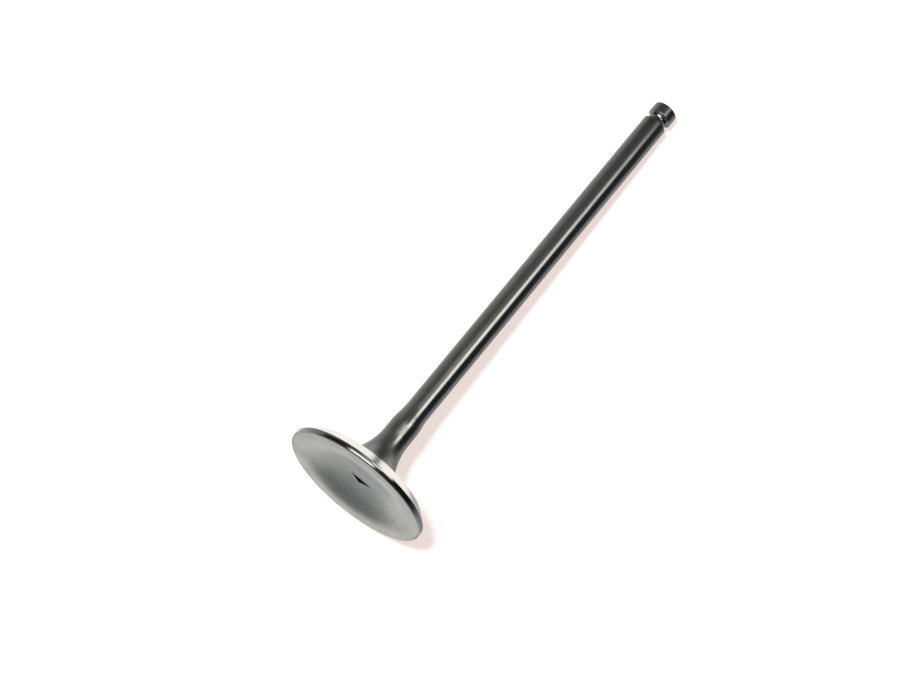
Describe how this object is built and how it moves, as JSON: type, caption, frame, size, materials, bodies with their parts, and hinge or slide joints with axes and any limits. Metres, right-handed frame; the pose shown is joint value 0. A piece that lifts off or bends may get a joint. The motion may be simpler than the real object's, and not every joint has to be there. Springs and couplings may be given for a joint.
{
  "type": "engine valve",
  "caption": "Poppet intake valve with a dished face, ground seat, waisted neck, long ground stem and round keeper groove.",
  "frame": {"origin": "centre of the combustion face, in the plane of its outer land", "axes": "+Z along the stem axis, from the face to the stem tip; X and Y are equal but for the small centre mark, whose corner points to +Y"},
  "size_m": [0.033, 0.033, 0.112],
  "materials": {
    "steel": "ground and polished, satin face"
  },
  "bodies": {
    "root": {"valve": "steel"}
  },
  "joints": []
}
